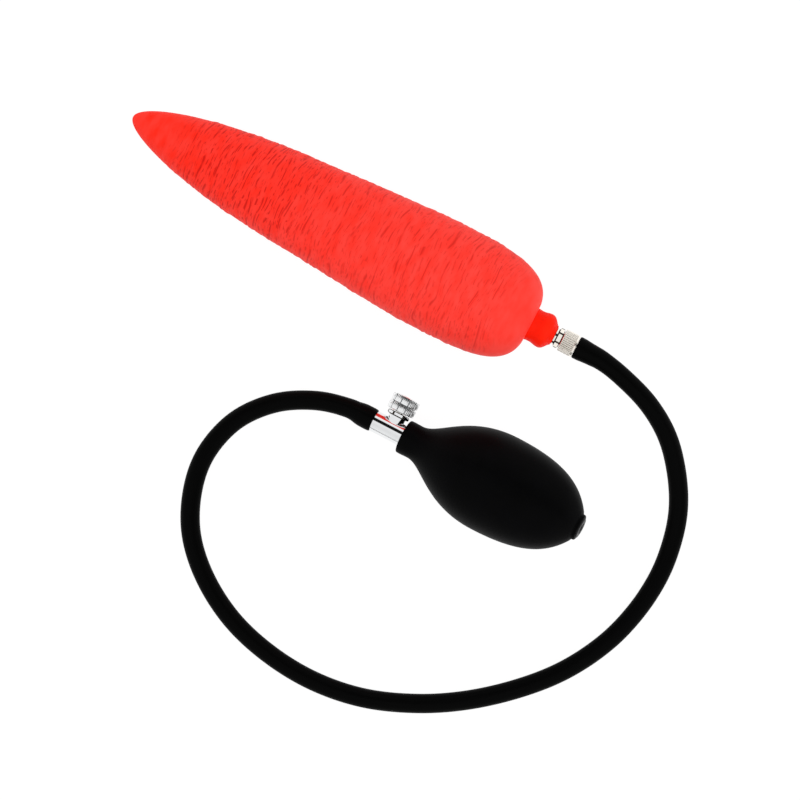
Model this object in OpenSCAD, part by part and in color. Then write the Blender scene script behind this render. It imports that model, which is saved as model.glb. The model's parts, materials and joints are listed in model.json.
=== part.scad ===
// Hand pump on a hose, with an inflatable rubber bladder on a screw coupling.
// X runs along the bladder from its tip to its neck, Z is up, and the object lies on z = 0.
// The origin is under the middle of everything except the hose. All sizes are in millimetres.

/* [Bladder] */
// Length of the rubber body from its tip to its round end
bladder_length = 214.8; // [200:0.2:220]
// Largest diameter of the body
bladder_d = 55; // [50:0.2:58]
// Thickness of the rubber
bladder_wall = 2.2; // [1.6:0.1:3]
// Depth of the patch that the body's weight presses flat
bladder_flat = 0.4; // [0.3:0.1:0.8]

/* [Neck and coupling] */
// Length of the smooth neck in front of the body
neck_length = 12.5; // [12:0.1:16]
// Diameter of the neck at its rim
neck_d = 17.5; // [16:0.1:18]
// Width across the corners of the fitting's hex
fitting_hex_d = 9.9; // [9:0.1:10.5]
// Diameter of the screw thread
thread_d = 6; // [5.8:0.1:6.2]
// Diameter of the knurled nut
nut_d = 11.2; // [10.8:0.1:12]
// Length of the knurled nut
nut_length = 7.5; // [7:0.1:9]
// Number of knurl teeth round the nut
nut_teeth = 34; // [30:1:60]

/* [Hose] */
// Outer diameter of the hose
hose_d = 9.4; // [9:0.1:10]
// Inner diameter of the hose
hose_bore = 5.2; // [4:0.1:6]
// Outer diameter where the hose is stretched over a barb
hose_end_d = 11.4; // [10.6:0.1:12]

/* [Valve] */
// Diameter of the polished body
valve_d = 10.4; // [10:0.1:11]
// Diameter of the release knob
knob_d = 13.6; // [12:0.1:14]
// Height of the release knob
knob_height = 8.5; // [8:0.1:9]
// Number of pads round the knob
knob_pads = 11; // [8:1:14]
// Width across the corners of the gland nut
gland_hex_d = 11; // [10:0.1:12]

/* [Bulb] */
// Largest diameter of the squeeze bulb
bulb_d = 49.2; // [46:0.2:50]
// Thickness of the rubber
bulb_wall = 3; // [2:0.1:4]
// Outer diameter of the collar round the valve
collar_d = 16.9; // [15:0.1:18]
// Diameter of the boss that holds the air inlet
boss_d = 13.2; // [13:0.1:16]

/* [Layout] */
// Distance of the bladder's axis from the middle, sideways
bladder_y = 36.5; // [34:0.5:40]
// Distance of the pump's axis from the middle, sideways
pump_y = -39.5; // [-42:0.5:-37]
// Place of the release knob's axis along X
valve_x = 37.5; // [36:0.1:39]
// Height of the release knob's axis
valve_z = 14.7; // [14.5:0.1:15]
// Nose-down tilt of the pump as it lies on its belly, in degrees
pump_tilt = 10; // [9:0.5:11]

/* [Hidden] */

$fn = 64;
fit = 0.02;            // gap between pieces pushed or screwed tight together
slip = 0.05;           // radial clearance of a thread or a shaft
curve_steps = 14;      // straight pieces in each stretch of a curved outline

red = "#ff3c2a";
neck_red = "#f01c10";
black = "#151515";
chrome = "#d9dcde";
nickel = "#d8d3c8";

// Bladder and coupling, measured along X
tip_x = -141.1;
body_end_x = tip_x + bladder_length;
neck_end_x = body_end_x + neck_length;
bladder_z = bladder_d / 2 - bladder_flat;
mouth_r = 6;
barb_r = 3;
fitting_bore_r = 1.4;
flange_length = 1.2;
hex_length = 2.6;
nut_x = neck_end_x + flange_length + hex_length + 0.2;
nut_end_x = nut_x + nut_length;
lip_length = 1.3;
thread_r = thread_d / 2;
spigot_end_x = nut_x + 4.4;
seal_length = 0.8;
tail_x = spigot_end_x + seal_length;
tail_r = 2.25;
ring_x = nut_end_x - lip_length - 0.5;
ring_length = 0.45;
tail_barb_x = nut_end_x + 0.15;
tail_barb_length = 12;
tail_barb_r = 3.2;

// Valve, measured from the knob's axis: back and forth along the pump, and out along the knob
body_front = -9.3;
body_rear = 16.5;
body_r = valve_d / 2;
valve_barb_length = 12;
air_bore_r = 1.5;
check_bore_r = 2.4;
check_bore_start = 5;
check_ball_r = 1.8;
check_port_r = 1.1;
check_seat_face = 12.5;
stem_r = 1.9;
vent_seat = 2.2;
vent_r = 0.8;
gland_floor = 4.6;
gland_bore_r = 3.3;
side_boss_r = 4.3;
side_boss_top = 6.9;
gland_top = 8.8;
knob_base = 9.1;

// Bulb and air inlet, along the pump from the knob's axis
collar_start = 7;
waist = 13.2;
belly = 57;
shoulder = 101.3;
boss_end = 103.6;
housing_r = 4.2;
housing_start = 92;
port_r = 1.75;
inlet_face = 99;
inlet_chamber_r = 2.7;
inlet_ball_r = 2.2;
cage_length = 2.4;

// Hose: free route between its two barbs, lying on z = 0 for most of its way
hose_route = [
    [124, 34, 26.2], [141.2, 28.3, 22.5], [156.3, 19, 17], [168.3, 6, 11.5], [177.4, -9, 7],
    [182.4, -25, 5], [184.4, -43, 4.7], [182.4, -63, 4.7], [176.4, -83, 4.7], [165.3, -103.2, 4.7],
    [150.3, -120.8, 4.7], [131.2, -137.3, 4.7], [110.2, -150.3, 4.7], [86, -160, 4.7],
    [61, -164, 4.7], [36, -162.5, 4.7], [12, -156, 4.7], [-9, -144, 4.7],
    [-24.7, -128.3, 4.7], [-33.8, -109.2, 4.7], [-36.2, -90, 4.7], [-30.8, -70, 4.7],
    [-18, -54, 5.5], [-1, -43.8, 8]];
hose_sides = 12;

// ---- helpers ----

// Points along one cubic curve, without its first point
function curve(p0, p1, p2, p3) = [for (i = [1:curve_steps]) let (t = i / curve_steps, s = 1 - t)
    s * s * s * p0 + 3 * s * s * t * p1 + 3 * s * t * t * p2 + t * t * t * p3];

// Swaps [distance, radius] pairs into [radius, distance] for rotate_extrude
function outline(points) = [for (p = points) [p[1], p[0]]];

function unit(v) = v / norm(v);

// Point of a smooth line through p1 and p2, with p0 and p3 as its neighbours
function smooth_point(p0, p1, p2, p3, t) =
    0.5 * (2 * p1 + (p2 - p0) * t + (2 * p0 - 5 * p1 + 4 * p2 - p3) * t * t
           + (3 * p1 - p0 - 3 * p2 + p3) * t * t * t);

// Lays a shape made along Z on the bladder's axis, which runs along X
module on_bladder_axis(x) translate([x, bladder_y, bladder_z]) rotate([0, 90, 0]) children();

// Lays a shape made along Z on the pump's tilted axis
module on_pump_axis(along) translate([valve_x, pump_y, valve_z]) rotate([0, 90 - pump_tilt, 0])
    translate([0, 0, along]) children();

// Lays a shape made along Z on the release knob's axis, which runs along Y
module on_knob_axis(out) translate([valve_x, pump_y + out, valve_z]) rotate([-90, 0, 0]) children();

module ring(r_out, r_in, length) difference() {
    cylinder(r = r_out, h = length);
    translate([0, 0, -1]) cylinder(r = r_in, h = length + 2);
}

// Hose barb: a plain cylinder with shallow grooves that the rubber grips
module barb(r, length) difference() {
    cylinder(r = r, h = length);
    for (i = [1:3]) translate([0, 0, i * length / 4 - 0.5]) ring(r + 1, r - 0.35, 1);
}

// Hex nut with its corners chamfered at both ends
module hex(d, length) intersection() {
    cylinder(d = d, h = length, $fn = 6);
    rotate_extrude() polygon([[0, 0], [d / 2 - 0.5, 0], [d / 2, 0.4], [d / 2, length - 0.4],
                              [d / 2 - 0.5, length], [0, length]]);
}

// Tube swept along points, solid where the inner radii are left out
module swept(points, outer, inner, sides) {
    n = len(points);
    hollow = len(inner) > 0;
    function along(i) = unit(points[min(i + 1, n - 1)] - points[max(i - 1, 0)]);
    function across(i) = unit(cross([0, 0, 1], along(i)));
    function circle_at(i, r) = [for (k = [0:sides - 1]) points[i]
        + r * cos(360 * k / sides) * across(i) + r * sin(360 * k / sides) * cross(along(i), across(i))];
    skin = [for (i = [0:n - 1]) each circle_at(i, outer[i])];
    lining = [for (i = [0:n - 1]) each hollow ? circle_at(i, inner[i]) : []];
    function quad(i, k, base) = [base + i * sides + k, base + i * sides + (k + 1) % sides,
                                 base + (i + 1) * sides + (k + 1) % sides, base + (i + 1) * sides + k];
    function halves(q) = [[q[0], q[1], q[2]], [q[0], q[2], q[3]]];
    function flip(q) = [q[3], q[2], q[1], q[0]];
    function annulus(i, k) = [i * sides + k, i * sides + (k + 1) % sides,
                              (n + i) * sides + (k + 1) % sides, (n + i) * sides + k];
    sides_out = [for (i = [0:n - 2]) for (k = [0:sides - 1]) each halves(quad(i, k, 0))];
    sides_in = [for (i = [0:n - 2]) for (k = [0:sides - 1])
        each hollow ? halves(flip(quad(i, k, n * sides))) : []];
    ends = hollow
        ? [for (k = [0:sides - 1]) each concat(halves(flip(annulus(0, k))), halves(annulus(n - 1, k)))]
        : [[for (k = [sides - 1:-1:0]) k], [for (k = [0:sides - 1]) (n - 1) * sides + k]];
    polyhedron(concat(skin, lining), concat(sides_out, sides_in, ends), convexity = 10);
}

// ---- bladder ----

// Outline of the rubber body as [distance from the tip, radius], shrunk inwards by a wall
function body_outline(wall) =
    let (r = bladder_d / 2, a = (bladder_length - 2 * wall) / 214.8, b = (r - wall) / 27.5,
         k = [a, b], o = [wall, 0],
         at = function (x, y) [o[0] + k[0] * x, k[1] * y])
    concat([at(0, 0)],
           curve(at(0, 0), at(0, 6.9), at(26, 14.7), at(48, 18.2)),
           curve(at(48, 18.2), at(64, 20.9), at(80, 22.1), at(95, 23.1)),
           curve(at(95, 23.1), at(118, 24.5), at(146, 27.5), at(168, 27.5)),
           curve(at(168, 27.5), at(191, 27.5), at(212.5, 26.6), at(214.8, 10.2)));

module bladder() color(red) difference() {
    on_bladder_axis(tip_x) difference() {
        rotate_extrude() polygon(outline(concat(body_outline(0), [[bladder_length, 0]])));
        rotate_extrude() polygon(outline(concat(body_outline(bladder_wall),
                                                [[bladder_length - bladder_wall, 0]])));
        translate([0, 0, bladder_length - 2 * bladder_wall]) cylinder(r = mouth_r + fit, h = 10);
    }
    translate([tip_x, 0, -10]) cube([bladder_length, 2 * bladder_y, 10]);
}

module bladder_neck() color(neck_red) on_bladder_axis(body_end_x) difference() {
    rotate_extrude() {
        r = neck_d / 2;
        plug = bladder_wall;
        polygon(outline(concat(
            [[-plug, 0], [-plug, mouth_r], [fit, mouth_r], [fit, 9.2]],
            curve([fit, 9.2], [0.8, 8.2], [1.6, r - 0.7], [2.6, r - 0.7]),
            curve([2.6, r - 0.7], [4.4, r - 0.7], [5.4, r], [7.2, r]),
            curve([7.2, r], [9.8, r], [10.6, 6.4], [11.8, 5.3]),
            curve([11.8, 5.3], [12.2, 4.95], [neck_length, 4.8], [neck_length, 4.5]),
            [[neck_length, 0]])));
    }
    translate([0, 0, -10]) cylinder(r = barb_r + fit, h = neck_length + 20);
}

// ---- coupling ----

module neck_fitting() color(nickel) difference() {
    union() {
        on_bladder_axis(neck_end_x - 12) barb(barb_r, 12.1);
        on_bladder_axis(neck_end_x + fit) cylinder(r = 4.2, h = flange_length);
        on_bladder_axis(neck_end_x + flange_length) hex(fitting_hex_d, hex_length);
        on_bladder_axis(neck_end_x) cylinder(r = thread_r, h = spigot_end_x - neck_end_x);
    }
    on_bladder_axis(neck_end_x - 20) cylinder(r = fitting_bore_r, h = 50);
}

module coupling_seal() color(black)
    on_bladder_axis(spigot_end_x) ring(thread_r - 0.4, fitting_bore_r + 0.1, seal_length);

module coupling_nut() color(nickel) {
    knurl_depth = 0.25;
    rim_length = 1;
    knurl_length = nut_length - rim_length;
    on_bladder_axis(nut_x) difference() {
        union() {
            translate([0, 0, knurl_length - 0.1]) cylinder(d = nut_d, h = rim_length + 0.1);
            linear_extrude(knurl_length) polygon([for (i = [0:nut_teeth - 1]) for (j = [0, 1])
                (nut_d / 2 - 0.06 - knurl_depth * j)
                * [cos(180 * (2 * i + j) / nut_teeth), sin(180 * (2 * i + j) / nut_teeth)]]);
        }
        translate([0, 0, -1]) cylinder(r = thread_r + slip, h = nut_length - lip_length + 1);
        cylinder(r = tail_r + slip, h = nut_length + 1);
    }
}

module snap_ring() color(chrome) on_bladder_axis(ring_x)
    rotate_extrude(angle = 320) polygon([[2, 0], [2.85, 0], [2.85, ring_length], [2, ring_length]]);

module hose_tail() color(nickel) difference() {
    union() {
        difference() {
            on_bladder_axis(tail_x) cylinder(r = tail_r, h = tail_barb_x - tail_x + 0.1);
            on_bladder_axis(ring_x) translate([0, 0, -fit]) ring(tail_r + 1, 1.98, ring_length + 2 * fit);
        }
        on_bladder_axis(tail_barb_x) barb(tail_barb_r, tail_barb_length);
    }
    on_bladder_axis(tail_x - 1) cylinder(r = fitting_bore_r, h = 30);
}

// ---- hose ----

module hose() color(black) {
    // The hose runs straight along each barb, from its end to just past the metal
    start_dir = [1, 0, 0];
    end_dir = [cos(pump_tilt), 0, sin(pump_tilt)];
    start = [tail_barb_x + 0.05, bladder_y, bladder_z];
    end = [valve_x, pump_y, valve_z] + (body_front - 0.05) * end_dir;
    start_straight = [for (d = [0, 0.7, 3, 7, tail_barb_length + 0.5]) start + d * start_dir];
    end_straight = [for (d = [valve_barb_length + 0.5, 9.5, 7, 2, 0.8, 0]) end - d * end_dir];
    knots = concat([start, start_straight[4]], hose_route, [end_straight[0], end]);
    middle = [for (i = [1:len(knots) - 3]) for (t = [0, 0.5])
        if (i > 1 || t > 0)
            let (p = smooth_point(knots[i - 1], knots[i], knots[i + 1], knots[i + 2], t))
                [p[0], p[1], max(p[2], hose_d / 2)]];
    points = concat(start_straight, middle, end_straight);
    // Outer and inner radii: stretched over the barbs, plain between them
    r = hose_d / 2;
    end_r = hose_end_d / 2;
    over_barb = (tail_barb_r + fit) / cos(180 / hose_sides);
    bore = hose_bore / 2;
    outer = concat([end_r - 0.5, end_r - 0.1, end_r - 0.15, end_r - 0.5, r + 0.2],
                   [for (p = middle) r],
                   [r + 0.1, r + 0.4, end_r - 0.1, end_r, end_r - 0.1, end_r - 0.5]);
    inner = concat([over_barb, over_barb, over_barb, over_barb, over_barb],
                   [for (p = middle) bore],
                   [over_barb, over_barb, over_barb, over_barb, over_barb, over_barb]);
    swept(points, outer, inner, hose_sides);
}

// ---- release valve ----

module valve_body() color(chrome) difference() {
    union() {
        on_pump_axis(body_front) rotate_extrude() polygon([[0, 0], [body_r - 0.3, 0], [body_r, 0.3],
            [body_r, body_rear - body_front], [0, body_rear - body_front]]);
        on_pump_axis(body_front - valve_barb_length) barb(tail_barb_r, valve_barb_length + 0.1);
        on_knob_axis(0) cylinder(r = side_boss_r, h = side_boss_top);
    }
    on_pump_axis(body_front - 20) cylinder(r = air_bore_r, h = 20 - body_front + check_bore_start + 1);
    on_pump_axis(check_bore_start) cylinder(r = check_bore_r, h = 20);
    // Vent: a seat hole from the air bore, a chamber round the needle and a way out underneath
    on_knob_axis(0) cylinder(r = vent_r, h = vent_seat + 0.1);
    on_knob_axis(vent_seat) cylinder(r = stem_r + slip, h = 10);
    on_knob_axis(gland_floor) cylinder(r = gland_bore_r, h = 10);
    on_pump_axis(0) translate([0, 3, 0]) rotate([0, 90, 0]) cylinder(r = 0.5, h = 8);
}

module gland_nut() color(chrome) on_knob_axis(side_boss_top - 0.5) difference() {
    union() {
        cylinder(r = gland_bore_r - fit, h = 1);
        translate([0, 0, 0.5]) hex(gland_hex_d, gland_top - side_boss_top);
    }
    translate([0, 0, -1]) cylinder(r = stem_r + slip, h = 10);
}

module gland_washer() color(nickel)
    on_knob_axis(side_boss_top - 0.95) ring(gland_bore_r - fit, stem_r + slip, 0.44);

module stem_seal() color(black) on_knob_axis(gland_floor + 0.66)
    rotate_extrude() translate([stem_r + slip + 0.65, 0]) circle(r = 0.62);

module release_stem() color(nickel) on_knob_axis(0) rotate_extrude() polygon([
    [0, 1.78], [0.35, 1.78], [1.2, 2.63], [1.2, 3.2], [stem_r, 3.4],
    [stem_r, knob_base + 7.45], [0, knob_base + 7.45]]);

module release_knob() color(chrome) on_knob_axis(knob_base) difference() {
    r = knob_d / 2;
    middle = knob_height / 2;
    rotate_extrude() polygon([[0, 0], [r - 0.6, 0], [r, 0.5], [r, middle - 0.45],
        [r - 0.55, middle - 0.25], [r - 0.55, middle + 0.25], [r, middle + 0.45],
        [r, knob_height - 0.7], [r - 0.8, knob_height], [0, knob_height]]);
    translate([0, 0, -1]) cylinder(r = stem_r + 0.03, h = 8.5);
    for (i = [0:knob_pads - 1]) rotate(360 * i / knob_pads)
        translate([r - 0.55, -0.35, -1]) cube([2, 0.7, knob_height + 2]);
}

// ---- check valve ----

module check_seat() color(nickel) on_pump_axis(check_seat_face)
    ring(check_bore_r - fit, check_port_r, body_rear - check_seat_face);

module check_ball() color(chrome)
    on_pump_axis(check_seat_face - sqrt(pow(check_ball_r, 2) - pow(check_port_r, 2)) - 0.03)
        sphere(r = check_ball_r);

module check_spring() color(chrome) {
    turns = 4;
    steps = 12;
    coil_r = 1.45;
    wire_r = 0.17;
    first = check_bore_start + wire_r + 0.02;
    last = 9.7;
    points = [for (i = [0:turns * steps]) let (a = 360 * i / steps)
        [coil_r * cos(a), coil_r * sin(a), first + (last - first) * i / (turns * steps)]];
    on_pump_axis(0) swept(points, [for (p = points) wire_r], [], 6);
}

// ---- squeeze bulb ----

// Outline of the bulb as [distance from the knob's axis, radius]
function bulb_outline() =
    let (r = bulb_d / 2, c = collar_d / 2, boss = boss_d / 2)
    concat([[collar_start, c - 0.6]],
           curve([collar_start, c - 0.6], [collar_start, c - 0.1], [collar_start + 0.3, c], [9, c]),
           curve([9, c], [10.5, c], [11.5, c - 0.1], [waist, c - 0.1]),
           curve([waist, c - 0.1], [22, c - 0.1], [31, r], [belly, r]),
           curve([belly, r], [80.5, r], [93, 19.8], [shoulder, boss + 1.4]),
           curve([shoulder, boss + 1.4], [shoulder + 0.5, boss + 0.2], [shoulder + 0.8, boss],
                 [shoulder + 1.2, boss]),
           [[boss_end - 0.9, boss]],
           curve([boss_end - 0.9, boss], [boss_end - 0.3, boss], [boss_end, boss - 0.5],
                 [boss_end, boss - 1.3]));

function bulb_cavity() =
    let (r = bulb_d / 2 - bulb_wall)
    concat(curve([body_rear + 1, body_r], [24.5, body_r], [33, r], [belly, r]),
           curve([belly, r], [78, r], [90, 16.5], [98, 5.6]),
           [[98.4, housing_r + fit]]);

module bulb() color(black) difference() {
    on_pump_axis(0) difference() {
        rotate_extrude() polygon(outline(concat([[collar_start, 0]], bulb_outline(), [[boss_end, 0]])));
        rotate_extrude() polygon(outline(concat([[0, 0], [0, body_r + fit], [body_rear, body_r + fit]],
            bulb_cavity(), [[boss_end + 5, housing_r + fit], [boss_end + 5, 0]])));
    }
    translate([valve_x, 2 * pump_y, -10]) cube([120, -2 * pump_y, 10]);
}

// ---- air inlet ----

module inlet_housing() color(black) on_pump_axis(housing_start) difference() {
    flange_end = boss_end - housing_start + 0.5;
    rotate_extrude() polygon([[0, 0], [housing_r, 0], [housing_r, boss_end - housing_start + fit],
        [4.9, boss_end - housing_start + fit], [4.9, flange_end - 0.2], [4.7, flange_end], [0, flange_end]]);
    translate([0, 0, -1]) cylinder(r = inlet_chamber_r, h = inlet_face - housing_start + 1);
    cylinder(r = port_r, h = 20);
}

module inlet_ball() color(chrome)
    on_pump_axis(inlet_face - sqrt(pow(inlet_ball_r, 2) - pow(port_r, 2)) - 0.03) sphere(r = inlet_ball_r);

module inlet_cage() color(black) on_pump_axis(housing_start) difference() {
    ring(inlet_chamber_r - fit, 1.2, cage_length);
    for (i = [0:2]) rotate(120 * i) translate([0, -0.4, cage_length - 0.8]) cube([2.1, 0.8, 2]);
}

bladder();
bladder_neck();
neck_fitting();
coupling_seal();
coupling_nut();
snap_ring();
hose_tail();
hose();
valve_body();
gland_nut();
gland_washer();
stem_seal();
release_stem();
release_knob();
check_seat();
check_ball();
check_spring();
bulb();
inlet_housing();
inlet_ball();
inlet_cage();
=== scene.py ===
"""A squeeze-bulb hand pump, its hose and the rubber bladder on its screw coupling, dressed for the eye."""

import json
import math

import bmesh
import bpy
import numpy as np
from mathutils import Matrix, Vector


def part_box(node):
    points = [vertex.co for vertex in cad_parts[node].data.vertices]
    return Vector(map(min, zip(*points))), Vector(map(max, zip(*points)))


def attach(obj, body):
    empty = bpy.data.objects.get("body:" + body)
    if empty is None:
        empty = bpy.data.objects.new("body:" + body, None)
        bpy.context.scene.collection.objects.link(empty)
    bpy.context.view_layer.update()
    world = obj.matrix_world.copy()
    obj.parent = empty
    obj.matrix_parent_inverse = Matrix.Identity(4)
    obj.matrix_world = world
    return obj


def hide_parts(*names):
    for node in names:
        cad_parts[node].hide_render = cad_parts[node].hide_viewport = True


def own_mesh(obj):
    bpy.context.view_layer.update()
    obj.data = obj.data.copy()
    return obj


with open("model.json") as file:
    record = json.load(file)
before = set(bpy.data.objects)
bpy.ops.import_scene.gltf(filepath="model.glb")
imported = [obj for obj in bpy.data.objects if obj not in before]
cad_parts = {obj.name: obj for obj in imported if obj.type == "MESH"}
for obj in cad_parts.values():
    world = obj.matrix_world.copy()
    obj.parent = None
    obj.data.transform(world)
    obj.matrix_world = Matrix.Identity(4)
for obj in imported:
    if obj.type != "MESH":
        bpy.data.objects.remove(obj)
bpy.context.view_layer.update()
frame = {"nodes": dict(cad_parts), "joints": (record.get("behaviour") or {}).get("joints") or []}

MM = 0.001

# ---- where the frame puts things ----------------------------------------------------------------

JOINTS = {joint["name"]: joint for joint in frame["joints"]}


def middle(node):
    """Middle of a CAD node's box."""
    low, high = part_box(node)
    return (Vector(low) + Vector(high)) / 2


def axis_place(origin, along, across):
    """Matrix that lays local Z on along and local X on across, with the origin at origin."""
    along, across = Vector(along).normalized(), Vector(across).normalized()
    up = along.cross(across)
    place = Matrix((across, up, along)).transposed().to_4x4()
    place.translation = origin
    return place


# The bladder and the coupling share an axis that runs along X
coupling_mid = middle("coupling_nut")
tip_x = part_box("bladder")[0][0]
bladder_origin = Vector((tip_x, coupling_mid.y, coupling_mid.z))
on_bladder = axis_place(bladder_origin, (1, 0, 0), (0, 1, 0))

# The pump's axis leans up towards the bulb, and crosses the release knob's axis, which runs along Y
KNOB_BASE = 9.1
knob_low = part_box("release_knob")[0]
knob_mid = middle("release_knob")
pump_origin = Vector((knob_mid.x, knob_low[1] - KNOB_BASE * MM, knob_mid.z))
pump_along = -Vector(JOINTS["check_ball_lift"]["axis"])
on_pump = axis_place(pump_origin, pump_along, (0, 1, 0))
on_knob = axis_place(pump_origin, (0, 1, 0), (0, 0, 1))

# ---- sizes in millimetres, the same as the solids they stand for ----------------------------------

# Bladder and its neck
BLADDER_LENGTH = 214.8
BLADDER_R = 27.5
BLADDER_WALL = 2.2
MOUTH_R = 6.0
NECK_LENGTH = 12.5
NECK_R = 8.75

# Fitting in the neck: barb, flange, hex and threaded spigot
BARB_R = 3.0
BARB_LENGTH = 12.0
BORE_R = 1.4
FLANGE_R = 4.2
FLANGE_LENGTH = 1.2
FITTING_HEX_R = 4.95
HEX_LENGTH = 2.6
SPIGOT_LENGTH = 4.4
THREAD_R = 3.0
THREAD_DEPTH = 0.35
THREAD_PITCH = 0.75

# Union nut, a gap away from the hex
NUT_GAP = 0.2
NUT_R = 5.6
NUT_LENGTH = 7.5
NUT_RIBS = 34
RIB_R = 0.45
RIM_LENGTH = 1.0
LIP_LENGTH = 1.3
TAIL_R = 2.3

# Hose
HOSE_R = 4.7
HOSE_BORE_R = 2.6
HOSE_BARB_R = 3.25
HOSE_BARB_LENGTH = 12.0

# Valve body, along the pump's axis from where the knob's axis crosses it
VALVE_R = 5.2
VALVE_FRONT = -9.3
VALVE_REAR = 16.5
VALVE_BARB_R = 3.2
AIR_BORE_R = 1.5
CHECK_BORE_R = 2.4
CHECK_BORE_START = 5.0
SPRING_END = 9.7
SPRING_TURNS = 4
SPRING_COIL_R = 1.45
SPRING_WIRE_R = 0.17

# Side boss, gland nut and knob, along the knob's axis
SIDE_BOSS_R = 4.3
SIDE_BOSS_TOP = 6.9
SEAL_BORE_R = 3.3
SEAL_FLOOR = 4.6
STEM_SEAT = 2.2
SEAT_R = 1.0
GLAND_HEX_R = 5.5
GLAND_LENGTH = 1.9
STEM_R = 1.93
KNOB_R = 6.8
KNOB_HEIGHT = 8.5
KNOB_PADS = 11
PAD_RISE = 0.55

# Bulb and its air inlet, along the pump's axis
COLLAR_START = 7.0
COLLAR_R = 8.45
WAIST = 13.2
BELLY = 57.0
BULB_R = 24.6
BULB_WALL = 3.0
SHOULDER = 101.3
BOSS_R = 6.6
BOSS_END = 103.6
HOUSING_START = 92.0
HOUSING_R = 4.2
INLET_FLANGE_R = 4.9
PORT_START = 99.0
PORT_R = 1.75

# Play between a part and the hole that it sits in
FIT = 0.02

# Creases in the latex: millimetres from one ring to the next, how far a ring leans, and how far it strays
CREASE_SPACING = 4.3
CREASE_LEAN = 0.18
CREASE_WANDER = 2.0

# Hose: the points that it follows between its two barbs
HOSE_ROUTE = [
    (124, 34, 26.2), (141.2, 28.3, 22.5), (156.3, 19, 17), (168.3, 6, 11.5), (177.4, -9, 7),
    (182.4, -25, 5), (184.4, -43, 4.7), (182.4, -63, 4.7), (176.4, -83, 4.7), (165.3, -103.2, 4.7),
    (150.3, -120.8, 4.7), (131.2, -137.3, 4.7), (110.2, -150.3, 4.7), (86, -160, 4.7),
    (61, -164, 4.7), (36, -162.5, 4.7), (12, -156, 4.7), (-9, -144, 4.7),
    (-24.7, -128.3, 4.7), (-33.8, -109.2, 4.7), (-36.2, -90, 4.7), (-30.8, -70, 4.7),
    (-18, -54, 5.5), (-1, -43.8, 8),
]

# ---- nodes and materials --------------------------------------------------------------------------

MATH = "ShaderNodeMath"
RANGE = "ShaderNodeMapRange"
SMOOTH = {"interpolation_type": "SMOOTHSTEP"}


def add(tree, kind, inputs=(), **settings):
    """Adds a node with its settings, and sets or links its inputs: in their order, or by name or number.

    A node given as an input stands for its first output."""
    made = tree.nodes.new(kind)
    for name, value in settings.items():
        setattr(made, name, value)
    for key, value in inputs.items() if isinstance(inputs, dict) else enumerate(inputs):
        if isinstance(value, bpy.types.Node):
            value = value.outputs[0]
        if isinstance(value, bpy.types.NodeSocket):
            tree.links.new(value, made.inputs[key])
        else:
            made.inputs[key].default_value = value
    return made


def colour(code):
    """Linear colour of an sRGB hex code such as "ff3322"."""
    parts = [int(code[i:i + 2], 16) / 255 for i in (0, 2, 4)]
    return [p / 12.92 if p <= 0.04045 else ((p + 0.055) / 1.055) ** 2.4 for p in parts] + [1.0]


def finish(name, **shader):
    """A material with one Principled shader; returns it with its tree, its shader and object coordinates."""
    made = bpy.data.materials.new(name)
    made.use_nodes = True
    tree = made.node_tree
    tree.nodes.clear()
    bsdf = add(tree, "ShaderNodeBsdfPrincipled", {key.replace("_", " "): v for key, v in shader.items()})
    add(tree, "ShaderNodeOutputMaterial", {"Surface": bsdf})
    where = add(tree, "ShaderNodeTexCoord").outputs["Object"]
    return made, tree, bsdf, where


def link(tree, source, bsdf, name):
    """Feeds one of the shader's named sockets."""
    tree.links.new(source, bsdf.inputs[name])


def cells(tree, spot, along_mm, round_mm, detail, seed):
    """Soft noise from 0 to 1 in cells that are along_mm long and round_mm wide."""
    size = (along_mm * MM, round_mm * MM, round_mm * MM)
    scaled = add(tree, "ShaderNodeVectorMath", (spot, size), operation="DIVIDE")
    return add(tree, "ShaderNodeTexNoise", {"Vector": scaled, "W": seed, "Scale": 1.0, "Detail": detail},
               noise_dimensions="4D")


def leaning(tree, where, axis_height, lean):
    """Coordinates along and round the bladder, sheared so that rings lean, and a slow waver about 0."""
    at = add(tree, "ShaderNodeSeparateXYZ", [where]).outputs
    height = add(tree, MATH, (at["Z"], axis_height), operation="SUBTRACT")
    along = add(tree, MATH, (height, lean, at["X"]), operation="MULTIPLY_ADD")
    spot = add(tree, "ShaderNodeCombineXYZ", (along, at["Y"], at["Z"]))
    waver = add(tree, MATH, (cells(tree, spot, 9, 22, 1.0, 3.0), 0.5), operation="SUBTRACT")
    return at, along, spot, waver


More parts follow.
